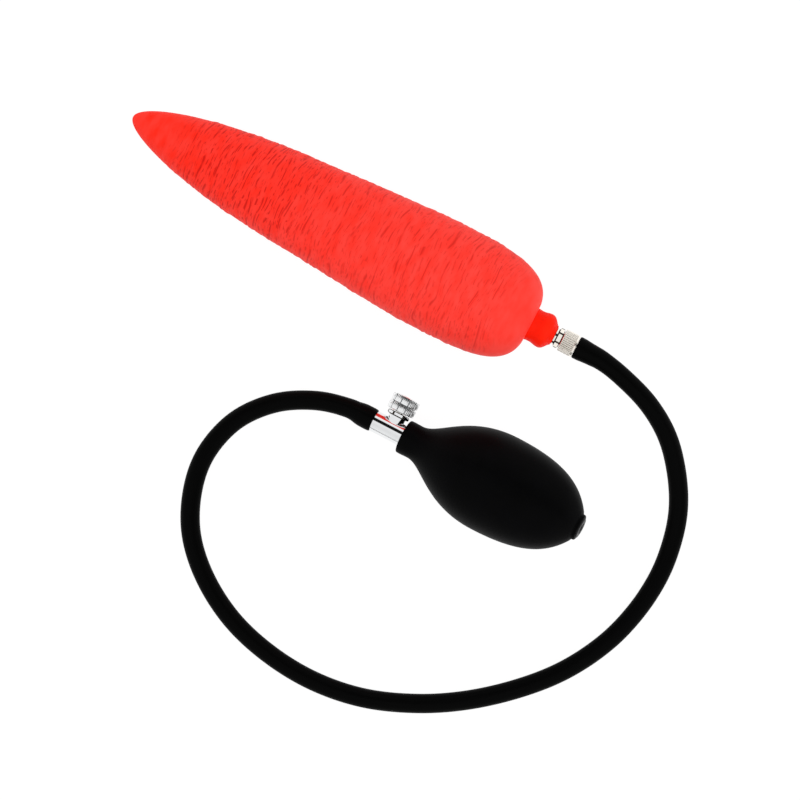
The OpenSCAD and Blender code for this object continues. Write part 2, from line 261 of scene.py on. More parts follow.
def red_latex():
    """Dip-moulded red latex of the bladder: satin, with thin creases round it in short dashes, darkened in
    colour as painted shade.
    """
    made, tree, bsdf, where = finish("red_latex", Roughness=0.52, IOR=1.52, Specular_IOR_Level=0.06)
    at, along, spot, waver = leaning(tree, where, bladder_origin.z, CREASE_LEAN)

    def dashes(spacing_mm, width, run_mm, share, wander, seed):
        """Broken lines spacing_mm apart, width of the spacing thick and about run_mm long."""
        rings = add(tree, MATH, (along, spacing_mm * MM), operation="DIVIDE")
        phase = add(tree, MATH, (waver, wander, rings), operation="MULTIPLY_ADD")
        off = add(tree, MATH, (phase, 0.5), operation="PINGPONG")
        line = add(tree, RANGE, (off, 0.0, width, 1.0, 0.0), **SMOOTH)
        patches = cells(tree, spot, 0.9 * spacing_mm, run_mm, 1.0, seed)
        kept = add(tree, RANGE, (patches, share, share + 0.14), **SMOOTH)
        return add(tree, MATH, (line, kept), operation="MULTIPLY")

    coarse = dashes(CREASE_SPACING, 0.17, 8, 0.47, CREASE_WANDER, 11.0)
    middling = dashes(CREASE_SPACING * 0.47, 0.28, 3.5, 0.47, 1.8 * CREASE_WANDER, 23.0)
    fine = dashes(CREASE_SPACING * 0.26, 0.4, 3, 0.5, 3 * CREASE_WANDER, 37.0)
    # By distance from the tip: creases begin, end at the round end, and thin out; the colour lightens
    begin, end, thin, light = (
        add(tree, RANGE, (at["X"], tip_x + low * MM, tip_x + high * MM, at_low, at_high), **SMOOTH)
        for low, high, at_low, at_high in ((14, 40, 0, 1), (190, 208, 1, 0), (70, 120, 1, 0.7),
                                           (0, 200, 0, 0.5)))
    where_creased = add(tree, MATH, (begin, end), operation="MULTIPLY")
    fewer = add(tree, MATH, (middling, thin), operation="MULTIPLY")
    faint = add(tree, MATH, (fine, 0.5), operation="MULTIPLY")
    bold = add(tree, MATH, (coarse, fewer), operation="MAXIMUM")
    every = add(tree, MATH, (bold, faint), operation="MAXIMUM")
    depth = add(tree, MATH, (where_creased, thin), operation="MULTIPLY")
    creases = add(tree, MATH, (every, depth), operation="MULTIPLY")
    cloud = add(tree, RANGE, (cells(tree, spot, 4, 9, 2.0, 53.0), 0.25, 0.75), **SMOOTH)
    paler = add(tree, MATH, (cloud, 0.5, light), operation="MULTIPLY_ADD")
    skin = add(tree, "ShaderNodeMix", {0: paler, 6: colour("f92614"), 7: colour("ff443b")},
               data_type="RGBA").outputs[2]
    # Painted shade: the creases darken the colour towards a deep red
    shade = add(tree, MATH, (creases, 0.85), operation="MULTIPLY")
    tone = add(tree, "ShaderNodeMix", {0: shade, 6: skin, 7: colour("bc0e08")}, data_type="RGBA").outputs[2]
    link(tree, tone, bsdf, "Base Color")
    grain = add(tree, MATH, (cells(tree, spot, 0.5, 1.6, 3.0, 5.0), 0.3), operation="MULTIPLY")
    relief = add(tree, MATH, (creases, -1.0, grain), operation="MULTIPLY_ADD")
    bump = add(tree, "ShaderNodeBump", {"Height": relief, "Strength": 0.2, "Distance": 0.2 * MM})
    link(tree, bump.outputs["Normal"], bsdf, "Normal")
    return made


def red_neck_rubber():
    """Compression-moulded red rubber of the neck: smoother and deeper in colour than the latex."""
    made, tree, bsdf, where = finish("red_neck_rubber", Roughness=0.45, IOR=1.52, Specular_IOR_Level=0.05)
    cloud = add(tree, "ShaderNodeTexNoise", {"Vector": where, "Scale": 1 / (6 * MM)})
    tone = add(tree, "ShaderNodeMix", {0: cloud, 6: colour("fc1c06"), 7: colour("ff2409")},
               data_type="RGBA").outputs[2]
    link(tree, tone, bsdf, "Base Color")
    grain = add(tree, "ShaderNodeTexNoise", {"Vector": where, "Scale": 1 / (0.5 * MM)})
    bump = add(tree, "ShaderNodeBump", {"Height": grain, "Strength": 0.1, "Distance": 0.1 * MM})
    link(tree, bump.outputs["Normal"], bsdf, "Normal")
    return made


def black_moulded_rubber():
    """Moulded black rubber of the bulb: a fine matt bloom over a near-black body."""
    made, tree, bsdf, where = finish("black_moulded_rubber", Roughness=0.5, IOR=1.52,
                                     Specular_IOR_Level=0.02)
    bloom = add(tree, "ShaderNodeTexNoise", {"Vector": where, "Scale": 1 / (9 * MM), "Detail": 4.0})
    tone = add(tree, "ShaderNodeMix", {0: bloom, 6: colour("030303"), 7: colour("060607")},
               data_type="RGBA").outputs[2]
    link(tree, tone, bsdf, "Base Color")
    dull = add(tree, RANGE, {"Value": bloom, "To Min": 0.38, "To Max": 0.52})
    link(tree, dull.outputs[0], bsdf, "Roughness")
    grain = add(tree, "ShaderNodeTexNoise", {"Vector": where, "Scale": 1 / (0.4 * MM), "Detail": 3.0})
    bump = add(tree, "ShaderNodeBump", {"Height": grain, "Strength": 0.1, "Distance": 0.1 * MM})
    link(tree, bump.outputs["Normal"], bsdf, "Normal")
    return made


def black_hose_rubber():
    """Extruded black rubber of the hose: satin, with faint lines that run along it."""
    made, tree, bsdf, _ = finish("black_hose_rubber", Roughness=0.4, IOR=1.52, Specular_IOR_Level=0.02)
    route = add(tree, "ShaderNodeUVMap", uv_map="route").outputs["UV"]
    # 60 lines round the hose, each broken about every 40 mm along it
    lines = add(tree, "ShaderNodeMapping", {"Vector": route, "Scale": (60.0, 25.0, 1.0)})
    streak = add(tree, "ShaderNodeTexNoise", {"Vector": lines, "Scale": 1.0, "Detail": 3.0})
    tone = add(tree, "ShaderNodeMix", {0: streak, 6: colour("030303"), 7: colour("060606")},
               data_type="RGBA").outputs[2]
    link(tree, tone, bsdf, "Base Color")
    dull = add(tree, RANGE, {"Value": streak, "To Min": 0.34, "To Max": 0.48})
    link(tree, dull.outputs[0], bsdf, "Roughness")
    bump = add(tree, "ShaderNodeBump", {"Height": streak, "Strength": 0.15, "Distance": 0.1 * MM})
    link(tree, bump.outputs["Normal"], bsdf, "Normal")
    return made


def plated(name, tone_low, tone_high, rough_low, rough_high, mark_mm):
    """Bright plating on brass: nearly a mirror, with faint marks of handling mark_mm across."""
    made, tree, bsdf, where = finish(name, Metallic=1.0)
    marks = add(tree, "ShaderNodeTexNoise", {"Vector": where, "Scale": 1 / (mark_mm * MM), "Detail": 4.0})
    tone = add(tree, "ShaderNodeMix", {0: marks, 6: colour(tone_low), 7: colour(tone_high)},
               data_type="RGBA").outputs[2]
    link(tree, tone, bsdf, "Base Color")
    dull = add(tree, RANGE, (marks, 0.3, 0.7, rough_low, rough_high))
    link(tree, dull.outputs[0], bsdf, "Roughness")
    return made


def black_nylon():
    """Moulded black nylon of the air inlet: matt, a shade lighter than the rubber."""
    made, tree, bsdf, where = finish("black_nylon", Roughness=0.45, IOR=1.53, Specular_IOR_Level=0.4)
    speck = add(tree, "ShaderNodeTexNoise", {"Vector": where, "Scale": 1 / (0.6 * MM), "Detail": 3.0})
    tone = add(tree, "ShaderNodeMix", {0: speck, 6: colour("101011"), 7: colour("171718")},
               data_type="RGBA").outputs[2]
    link(tree, tone, bsdf, "Base Color")
    bump = add(tree, "ShaderNodeBump", {"Height": speck, "Strength": 0.1, "Distance": 0.05 * MM})
    link(tree, bump.outputs["Normal"], bsdf, "Normal")
    return made


latex = red_latex()
neck_rubber = red_neck_rubber()
bulb_rubber = black_moulded_rubber()
hose_rubber = black_hose_rubber()
chrome = plated("polished_chrome", "e6e8e9", "f2f3f4", 0.03, 0.08, 3)
# Painted shade: a dark chrome for the knob's core between and under its pads
painted_shade_chrome = plated("chrome_painted_shade", "6a6c6e", "848688", 0.2, 0.35, 0.8)
bright_nickel = plated("polished_nickel_plate", "f6efe4", "fcf7ee", 0.06, 0.12, 2)
nickel = plated("turned_nickel_plate", "faf3e8", "fffaf2", 0.24, 0.36, 1.2)
# Painted shade and painted dark reflections: a dark nickel for the knurl's root and for the hexes' ends and
# corners
shade_and_reflection_nickel = plated("nickel_painted_shade_and_reflection", "2c2823", "443e36", 0.3, 0.45, 0.6)
satin_chrome = plated("satin_chrome", "f2f3f4", "fafbfb", 0.16, 0.26, 2)
steel = plated("bright_steel", "c9ccce", "d8dadc", 0.12, 0.2, 1)
nylon = black_nylon()

# ---- mesh building --------------------------------------------------------------------------------


def cubic(p0, p1, p2, p3, steps=24):
    """Points along one cubic curve, without its first point."""
    t = np.linspace(0, 1, steps + 1)[1:, None]
    s = 1 - t
    p0, p1, p2, p3 = (np.array(p, float) for p in (p0, p1, p2, p3))
    return [tuple(p) for p in s**3 * p0 + 3 * s * s * t * p1 + 3 * s * t * t * p2 + t**3 * p3]


def finished(name, verts, faces, material, sharp=35, uvs=None):
    """Makes an object of a closed mesh: its faces turned outwards, its edges sharp from an angle up."""
    mesh = bpy.data.meshes.new(name)
    mesh.from_pydata([tuple(v) for v in verts], [], faces)
    if uvs is not None:
        layer = mesh.uv_layers.new(name="route")
        for loop, uv in zip(layer.data, uvs):
            loop.uv = uv
    tidy = bmesh.new()
    tidy.from_mesh(mesh)
    bmesh.ops.remove_doubles(tidy, verts=tidy.verts, dist=1e-7)
    bmesh.ops.recalc_face_normals(tidy, faces=tidy.faces)
    tidy.to_mesh(mesh)
    tidy.free()
    mesh.shade_smooth()
    mesh.set_sharp_from_angle(angle=math.radians(sharp))
    mesh.materials.append(material)
    piece = bpy.data.objects.new(name, mesh)
    bpy.context.scene.collection.objects.link(piece)
    return piece


def paint_dark_faces(piece, material, place, low, high, radius, corner=30, turn=0):
    """Paints faces from low to high along an axis, and within a radius of it, with a second, darker material:
    painted shade and painted dark reflections.

    corner keeps the faces within so many degrees of a hex's corners, and turn is that hex's turn."""
    if material.name not in piece.data.materials:
        piece.data.materials.append(material)
    back = place.inverted()
    sixth = 60
    for face in piece.data.polygons:
        spot = back @ face.center / MM
        angle = math.degrees(math.atan2(spot.y, spot.x)) + turn
        beside = abs((angle + sixth / 2) % sixth - sixth / 2)
        if low < spot.z < high and math.hypot(spot.x, spot.y) < radius and beside <= corner:
            face.material_index = 1


def belongs(piece, body, slot, *nodes):
    """The piece rides on a body and stands for CAD nodes; slot is not used."""
    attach(piece, body)
    if nodes:
        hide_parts(*nodes)


def lathe_parts(outline, place, steps=96, shape=None, closed=False):
    """Vertices and faces of an outline of (along, radius) turned round local Z, in metres.

    shape(along, radius, angles) may change the radii. closed joins the last ring to the first, for a bore."""
    angles = np.linspace(0, 2 * math.pi, steps, endpoint=False)
    rings = []
    for along, radius in outline:
        radii = np.full(steps, float(radius)) if shape is None else shape(along, radius, angles)
        ring = np.stack([radii * np.cos(angles), radii * np.sin(angles), np.full(steps, along)], 1)
        rings.append(ring)
    local = np.concatenate(rings) * MM
    turn = np.array(place.to_3x3())
    verts = local @ turn.T + np.array(place.translation)
    count = len(outline)
    faces = []
    for i in range(count if closed else count - 1):
        j = (i + 1) % count
        for k in range(steps):
            n = (k + 1) % steps
            faces.append((i * steps + k, i * steps + n, j * steps + n, j * steps + k))
    return verts, faces


def joined(*parts):
    """Several (vertices, faces) as one."""
    verts, faces, base = [], [], 0
    for some, theirs in parts:
        verts.append(some)
        faces += [tuple(base + v for v in face) for face in theirs]
        base += len(some)
    return np.concatenate(verts), faces


def shifted(place, along):
    """The same axis, starting along millimetres further on."""
    return place @ Matrix.Translation((0, 0, along * MM))


def baked(piece, group, **values):
    """Runs a geometry node group on a piece with its named inputs, and keeps the result as a plain mesh."""
    modifier = piece.modifiers.new(group.name, "NODES")
    modifier.node_group = group
    for item in group.interface.items_tree:
        if item.item_type == "SOCKET" and item.in_out == "INPUT" and item.name in values:
            modifier[item.identifier] = values[item.name]
    graph = bpy.context.evaluated_depsgraph_get()
    made = bpy.data.meshes.new_from_object(piece.evaluated_get(graph), preserve_all_data_layers=True,
                                           depsgraph=graph)
    piece.modifiers.clear()
    piece.data = made


def node_group(name, **sockets):
    """A geometry node group with a geometry in and out and named inputs of these kinds."""
    group = bpy.data.node_groups.new(name, "GeometryNodeTree")
    group.interface.new_socket("Geometry", in_out="INPUT", socket_type="NodeSocketGeometry")
    group.interface.new_socket("Geometry", in_out="OUTPUT", socket_type="NodeSocketGeometry")
    for label, kind in sockets.items():
        group.interface.new_socket(label, in_out="INPUT", socket_type="NodeSocket" + kind)
    return group, add(group, "NodeGroupInput").outputs


# ---- camera: straight above, turned so that the bladder runs down to the right ---------------------

# The view is VIEW_WIDTH metres wide at VIEW_HEIGHT metres over the table; lens in mm, roll in degrees
VIEW_WIDTH = 0.384
LENS = 400.0
SENSOR = 36.0
ROLL = 27.45
VIEW_CENTRE = (0.0348, -0.0249)
VIEW_HEIGHT = 0.015

camera_data = bpy.data.cameras.new("camera")
camera_data.lens = LENS
camera_data.sensor_width = SENSOR
camera = bpy.data.objects.new("camera", camera_data)
camera.location = (*VIEW_CENTRE, VIEW_WIDTH * LENS / SENSOR + VIEW_HEIGHT)
camera.rotation_euler = (0, 0, math.radians(ROLL))
camera_data.clip_end = 20
bpy.context.scene.collection.objects.link(camera)
bpy.context.scene.camera = camera

# ---- hose -----------------------------------------------------------------------------------------


def smooth_route():
    """The hose's centreline in millimetres: straight on both barbs, smooth through the route between."""
    gap = 0.05
    tail_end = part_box("hose_tail")[1][0] / MM
    start = np.array([tail_end - HOSE_BARB_LENGTH + gap, bladder_origin.y / MM, bladder_origin.z / MM])
    along_start = np.array([1.0, 0, 0])
    along_end = np.array(pump_along)
    end = np.array(pump_origin) / MM + (VALVE_FRONT - gap) * along_end
    straight = HOSE_BARB_LENGTH + 0.5
    knots = [start, start + straight * along_start]
    knots += [np.array(p, float) for p in HOSE_ROUTE]
    knots += [end - straight * along_end, end]
    line = [start + d * along_start for d in np.linspace(0, straight, 9)[:-1]]
    for p0, p1, p2, p3 in zip(knots[:-3], knots[1:-2], knots[2:-1], knots[3:]):
        for t in np.linspace(0, 1, 12, endpoint=False):
            p = 0.5 * (2 * p1 + (p2 - p0) * t + (2 * p0 - 5 * p1 + 4 * p2 - p3) * t * t
                       + (3 * p1 - p0 - 3 * p2 + p3) * t**3)
            line.append(np.array([p[0], p[1], max(p[2], HOSE_R)]))
    line += [end - d * along_end for d in np.linspace(straight, 0, 9)]
    return np.array(line)


# Outer radius of the hose at a distance from each end, where the barbs stretch it
COUPLING_END = [(0, 5.05), (0.2, 5.4), (0.7, 5.58), (3, 5.55), (7, 5.2), (12.5, 4.9), (18, HOSE_R)]
VALVE_END = [(0, 5.1), (0.25, 5.45), (0.8, 5.62), (2, 5.7), (6, 5.66), (8, 5.4), (10, 5.0), (13, 4.78),
             (18, HOSE_R)]
INNER_END = [(0, HOSE_BARB_R), (HOSE_BARB_LENGTH, HOSE_BARB_R), (HOSE_BARB_LENGTH + 3, HOSE_BORE_R)]


def make_hose():
    """One tube with its bore, a little fuller where the barbs stretch it."""
    line = smooth_route()
    steps = np.linalg.norm(np.diff(line, axis=0), axis=1)
    travelled = np.concatenate([[0], np.cumsum(steps)])
    length = travelled[-1]
    # Rings stand closer together over the barbs
    edge = [0, 0.1, 0.2, 0.4, 0.7, 1.2, 2, 3, 4.5, 6, 7, 8, 9, 10, 12]
    stations = np.array(edge + list(np.linspace(14, length - 14, 230)) + [length - d for d in edge[::-1]])
    centre = np.stack([np.interp(stations, travelled, line[:, i]) for i in range(3)], 1)
    along = np.gradient(centre, axis=0)
    along /= np.linalg.norm(along, axis=1)[:, None]
    across = np.cross([0, 0, 1.0], along)
    across /= np.linalg.norm(across, axis=1)[:, None]
    up = np.cross(along, across)

    def radius(coupling_end, valve_end):
        near = np.interp(stations, *np.array(coupling_end).T)
        far = np.interp(length - stations, *np.array(valve_end).T)
        return np.where(stations < length / 2, near, far)

    sides = 40
    angles = np.linspace(0, 2 * math.pi, sides, endpoint=False)
    rings = []
    for radii, order in ((radius(COUPLING_END, VALVE_END), 1), (radius(INNER_END, INNER_END), -1)):
        some = [centre[i] + radii[i] * (np.cos(angles)[:, None] * across[i] + np.sin(angles)[:, None] * up[i])
                for i in range(len(stations))]
        rings += some[::order]
    verts = np.concatenate(rings) * MM
    heights = np.concatenate([stations, stations[::-1]]) * MM
    count = len(rings)
    faces, uvs = [], []
    for i in range(count):
        j = (i + 1) % count
        for k in range(sides):
            n = (k + 1) % sides
            faces.append((i * sides + k, i * sides + n, j * sides + n, j * sides + k))
            uvs += [(k / sides, heights[i]), ((k + 1) / sides, heights[i]),
                    ((k + 1) / sides, heights[j]), (k / sides, heights[j])]
    piece = finished("rubber_hose", verts, faces, hose_rubber, uvs=uvs)
    belongs(piece, "pump", "hose_rubber", "hose")


make_hose()

# ---- bladder --------------------------------------------------------------------------------------


def body_outline(wall):
    """Outline of the rubber body as (distance from the tip, radius), shrunk inwards by a wall."""
    stretch = (BLADDER_LENGTH - 2 * wall) / BLADDER_LENGTH
    thin = (BLADDER_R - wall) / BLADDER_R

    def at(along, radius):
        return (wall + stretch * along, thin * radius)

    share = 0.2 if wall else 1
    return ([at(0, 0)]
            + cubic(at(0, 0), at(0, 6.9), at(26, 14.7), at(48, 18.2), round(90 * share))
            + cubic(at(48, 18.2), at(64, 20.9), at(80, 22.1), at(95, 23.1), round(80 * share))
            + cubic(at(95, 23.1), at(118, 24.5), at(146, 27.5), at(168, 27.5), round(120 * share))
            + cubic(at(168, 27.5), at(191, 27.5), at(212.5, 26.6), at(214.8, 10.2), round(100 * share)))


def wrinkle_group():
    """Moulded rings that run round the body like worn steps, leaning a little and strayed by a noise."""
    group, given = node_group("moulded_rings", Ring_Spacing="Float", Step_Depth="Float", Swell="Float",
                              Lean="Float", Wander="Float", Axis_Height="Float", Start="Float", End="Float",
                              Skin="Material")
    at, along, spot, waver = leaning(group, add(group, "GeometryNodeInputPosition"), given["Axis_Height"],
                                     given["Lean"])

    def steps(spacing_share, wander_share, patches, low, high, least):
        """A ramp from 0 to 1 over each ring with a short fall to the next, weaker between patches."""
        spacing = add(group, MATH, (given["Ring_Spacing"], spacing_share), operation="MULTIPLY")
        wander = add(group, MATH, (given["Wander"], wander_share), operation="MULTIPLY")
        rings = add(group, MATH, (along, spacing), operation="DIVIDE")
        phase = add(group, MATH, (waver, wander, rings), operation="MULTIPLY_ADD")
        part = add(group, MATH, [phase], operation="FRACT")
        rise = add(group, RANGE, (part, 0.0, 0.45), **SMOOTH)
        fall = add(group, RANGE, (part, 0.8, 1.0, 1.0, 0.0), **SMOOTH)
        ramp = add(group, MATH, (rise, fall), operation="MULTIPLY")
        strength = add(group, RANGE, (patches, low, high, least, 1.0), **SMOOTH)
        return add(group, MATH, (ramp, strength), operation="MULTIPLY")

    big = steps(1.0, 1.0, cells(group, spot, 6, 15, 1.0, 41.0), 0.35, 0.65, 0.15)
    small = steps(0.47, 2.2, cells(group, spot, 4, 9, 1.0, 53.0), 0.45, 0.6, 0.0)
    swell = add(group, MATH, (cells(group, spot, 22, 24, 1.0, 31.0), 0.5), operation="SUBTRACT")
    fade_in, fade_out = 30 * MM, 25 * MM
    full_from = add(group, MATH, (given["Start"], fade_in), operation="ADD")
    full_to = add(group, MATH, (given["End"], fade_out), operation="SUBTRACT")
    begin = add(group, RANGE, (at["X"], given["Start"], full_from), **SMOOTH)
    end = add(group, RANGE, (at["X"], full_to, given["End"], 1.0, 0.0), **SMOOTH)
    fade = add(group, MATH, (begin, end), operation="MULTIPLY")
    both = add(group, MATH, (small, 0.35, big), operation="MULTIPLY_ADD")
    rings = add(group, MATH, (both, 0.6), operation="SUBTRACT")
    relief = add(group, MATH, (given["Step_Depth"], rings), operation="MULTIPLY")
    swollen = add(group, MATH, (given["Swell"], swell, relief), operation="MULTIPLY_ADD")
    depth = add(group, MATH, (fade, swollen), operation="MULTIPLY")
    offset = add(group, "ShaderNodeVectorMath", {0: add(group, "GeometryNodeInputNormal"), "Scale": depth},
                 operation="SCALE")
    moved = add(group, "GeometryNodeSetPosition", {"Geometry": given["Geometry"], "Offset": offset})
    # Nothing goes below the surface that the bladder lies on
    now = add(group, "ShaderNodeSeparateXYZ", [add(group, "GeometryNodeInputPosition")]).outputs
    above = add(group, MATH, (now["Z"], 0.0), operation="MAXIMUM")
    resting = add(group, "ShaderNodeCombineXYZ", (now["X"], now["Y"], above))
    flattened = add(group, "GeometryNodeSetPosition", {"Geometry": moved, "Position": resting})
    whole = add(group, "GeometryNodeRealizeInstances", [flattened])
    skinned = add(group, "GeometryNodeSetMaterial", {"Geometry": whole, "Material": given["Skin"]})
    add(group, "NodeGroupOutput", [skinned])
    return group


def make_bladder():
    """The rubber body with its cavity, closed round the mouth, with its moulded rings."""
    outer = body_outline(0)
    inner = body_outline(BLADDER_WALL)
    mouth = [(BLADDER_LENGTH, MOUTH_R), (BLADDER_LENGTH - BLADDER_WALL, MOUTH_R)]
    verts, faces = lathe_parts(outer + mouth + inner[::-1], on_bladder, steps=176)
    piece = finished("wrinkled_bladder", verts, faces, latex)
    rings_from, rings_to = 12, BLADDER_LENGTH - 6
    baked(piece, wrinkle_group(), Ring_Spacing=CREASE_SPACING * MM, Step_Depth=0.34 * MM, Swell=0.75 * MM,
          Lean=CREASE_LEAN, Wander=CREASE_WANDER, Axis_Height=bladder_origin.z,
          Start=tip_x + rings_from * MM, End=tip_x + rings_to * MM, Skin=latex)
    piece.data.shade_smooth()
    belongs(piece, "bladder", "red_rubber", "bladder")


def make_neck():
    """Smooth neck, bonded into the mouth and round the fitting's barb."""
    r = NECK_R
    outline = ([(-BLADDER_WALL, MOUTH_R), (-0.4, MOUTH_R), (-0.4, r - 0.5), (0.3, r - 0.5)]
               + cubic((0.3, r - 0.5), (1.0, r - 0.6), (1.6, r - 0.7), (2.6, r - 0.7), 10)
               + cubic((2.6, r - 0.7), (4.4, r - 0.7), (5.4, r), (7.2, r), 12)
               + cubic((7.2, r), (9.8, r), (10.6, 6.4), (11.8, 5.3), 14)
               + cubic((11.8, 5.3), (12.2, 4.95), (NECK_LENGTH, 4.8), (NECK_LENGTH, 4.5), 5)
               + [(NECK_LENGTH, BARB_R + FIT), (-BLADDER_WALL, BARB_R + FIT)])
    verts, faces = lathe_parts(outline, shifted(on_bladder, BLADDER_LENGTH), steps=96, closed=True)
    piece = finished("smooth_neck", verts, faces, neck_rubber, sharp=50)
    belongs(piece, "bladder", "neck_rubber", "bladder_neck")


make_bladder()
make_neck()

# ---- bulb -----------------------------------------------------------------------------------------


def bulb_outline():
    """Outline of the bulb and back through its cavity, as (distance along the pump's axis, radius)."""
    c, boss = COLLAR_R, BOSS_R
    outer = ([(COLLAR_START, c - 0.6)]
             + cubic((COLLAR_START, c - 0.6), (COLLAR_START, c - 0.1), (COLLAR_START + 0.3, c), (9, c), 10)
             + cubic((9, c), (10.5, c), (11.5, c - 0.1), (WAIST, c - 0.1), 8)
             + cubic((WAIST, c - 0.1), (22, c - 0.1), (31, BULB_R), (BELLY, BULB_R), 60)
             + cubic((BELLY, BULB_R), (80.5, BULB_R), (93, 19.8), (SHOULDER, boss + 1.4), 60)
             + cubic((SHOULDER, boss + 1.4), (SHOULDER + 0.5, boss + 0.2), (SHOULDER + 0.8, boss),
                     (SHOULDER + 1.2, boss), 8)
             + [(BOSS_END - 0.9, boss)]
             + cubic((BOSS_END - 0.9, boss), (BOSS_END - 0.3, boss), (BOSS_END, boss - 0.5),
                     (BOSS_END, boss - 1.3), 8)
             + [(BOSS_END, HOUSING_R + FIT)])
    r = BULB_R - BULB_WALL
    cavity = ([(COLLAR_START, VALVE_R + FIT), (VALVE_REAR + 1, VALVE_R + FIT)]
              + cubic((VALVE_REAR + 1, VALVE_R + FIT), (24.5, VALVE_R), (33, r), (BELLY, r), 16)
              + cubic((BELLY, r), (78, r), (90, 16.5), (98, 5.6), 16)
              + [(98.4, HOUSING_R + FIT)])
    return outer + cavity[::-1]


def make_bulb():
    """Squeeze bulb, pressed flat where it rests on the surface."""
    verts, faces = lathe_parts(bulb_outline(), on_pump, steps=160, closed=True)
    verts[:, 2] = np.maximum(verts[:, 2], 0)
    piece = finished("squeeze_bulb", verts, faces, bulb_rubber, sharp=50)
    belongs(piece, "pump", "bulb_rubber", "bulb")


make_bulb()

# ---- metal parts ----------------------------------------------------------------------------------


def hexed(radius, chamfer, length, turn):
    """Ring radii of a hex nut whose corners are turned off by chamfer at both ends."""
    def shape(along, limit, angles):
        if limit <= 0:
            return np.full(len(angles), -limit)
        flat = radius * math.cos(math.pi / 6)
        turned = (angles + turn) % (math.pi / 3) - math.pi / 6
        hexagon = flat / np.cos(turned)
        near_end = min(along, length - along)
        return np.minimum(hexagon, radius - chamfer * max(0, 1 - near_end / (0.5 * chamfer)) ** 1.5)
    return shape


def hex_block(place, radius, chamfer, length, bore, turn=0.0):
    """A hex with a round bore; a minus sign in the outline marks the bore's rings."""
    edge = [0, 0.1, 0.2, 0.35, 0.5, 0.8]
    stations = edge + [length / 2] + [length - d for d in edge[::-1]]
    outline = [(d, 1) for d in stations] + [(length, -bore), (0, -bore)]
    return lathe_parts(outline, place, 180, shape=hexed(radius, chamfer, length, turn), closed=True)


def round_part(outline, place, steps=96):
    """A turned part with a bore: the outline closes on itself."""
    return lathe_parts(outline, place, steps, closed=True)


def make_fitting():
    """Flange, hex and spigot that the neck is bonded to."""
    place = shifted(on_bladder, BLADDER_LENGTH + NECK_LENGTH)
    length, r = FLANGE_LENGTH, FLANGE_R
    flange = round_part([(FIT, BORE_R), (FIT, r - 0.3), (0.2, r), (length - 0.25, r), (length, r - 0.5),
                         (length, BORE_R)], place)
    hex_place = shifted(place, FLANGE_LENGTH)
    block = hex_block(hex_place, FITTING_HEX_R, 1.1, HEX_LENGTH, BORE_R)
    thread_start = FLANGE_LENGTH + HEX_LENGTH
    reach = thread_start + NUT_GAP + SPIGOT_LENGTH
    root = THREAD_R - THREAD_DEPTH
    turns = [(thread_start + (i + quarter) * THREAD_PITCH, radius)
             for i in range(int((reach - thread_start) / THREAD_PITCH))
             for quarter, radius in ((0, root), (0.25, THREAD_R), (0.5, THREAD_R), (0.75, root))]
    spigot = round_part([(-BARB_LENGTH, BORE_R), (-BARB_LENGTH, BARB_R), (0, BARB_R)] + turns
                        + [(reach, root), (reach, BORE_R)], place, 64)
    verts, faces = joined(flange, block, spigot)
    piece = finished("coupling_fitting", verts, faces, bright_nickel, sharp=30)
    # The hex's ends and corners take the dark nickel: painted dark reflections
    hex_reach = FITTING_HEX_R + 1.05
    paint_dark_faces(piece, shade_and_reflection_nickel, hex_place, -0.3, 0.3, hex_reach)
    paint_dark_faces(piece, shade_and_reflection_nickel, hex_place, HEX_LENGTH - 0.3, HEX_LENGTH + 0.5, hex_reach)
    paint_dark_faces(piece, shade_and_reflection_nickel, hex_place, 0, HEX_LENGTH, hex_reach, corner=5)
    belongs(piece, "bladder", "nickel", "neck_fitting")


def plated_but_painted_shade(group, given, raised):
    """Ends a group: its raised parts join the blank, and all but the blank's recesses, which keep their
    painted shade, take the metal.
    """
    both = add(group, "GeometryNodeJoinGeometry")
    group.links.new(raised, both.inputs[0])
    group.links.new(given["Geometry"], both.inputs[0])
    whole = add(group, "GeometryNodeRealizeInstances", [both])
    in_painted_shade = add(group, "GeometryNodeMaterialSelection", {"Material": given["Recess"]})
    open_face = add(group, "FunctionNodeBooleanMath", [in_painted_shade], operation="NOT")
    bright = add(group, "GeometryNodeSetMaterial", {"Geometry": whole, "Selection": open_face,
                                                    "Material": given["Metal"]})
    add(group, "NodeGroupOutput", [bright])
    return group


def rib_group():
    """Straight knurl: round-backed ribs set side by side on a turned barrel."""
    group, given = node_group("straight_knurl", Ribs="Int", Barrel_Radius="Float", Rib_Radius="Float",
                              Rib_Length="Float", Along="Float", Turn="Rotation", Place="Vector",
                              Metal="Material", Recess="Material")
    rib = add(group, "GeometryNodeMeshCylinder", {"Vertices": 12, "Radius": given["Rib_Radius"],
                                                  "Depth": given["Rib_Length"]})
    circle = add(group, "GeometryNodeMeshCircle", {"Vertices": given["Ribs"],
                                                   "Radius": given["Barrel_Radius"]})
    many = add(group, "GeometryNodeInstanceOnPoints", {"Points": circle, "Instance": rib})
    along = add(group, "ShaderNodeCombineXYZ", {"Z": given["Along"]})
    slid = add(group, "GeometryNodeTransform", {"Geometry": many, "Translation": along})
    put = add(group, "GeometryNodeTransform", {"Geometry": slid, "Rotation": given["Turn"],
                                               "Translation": given["Place"]})
    return plated_but_painted_shade(group, given, put.outputs[0])


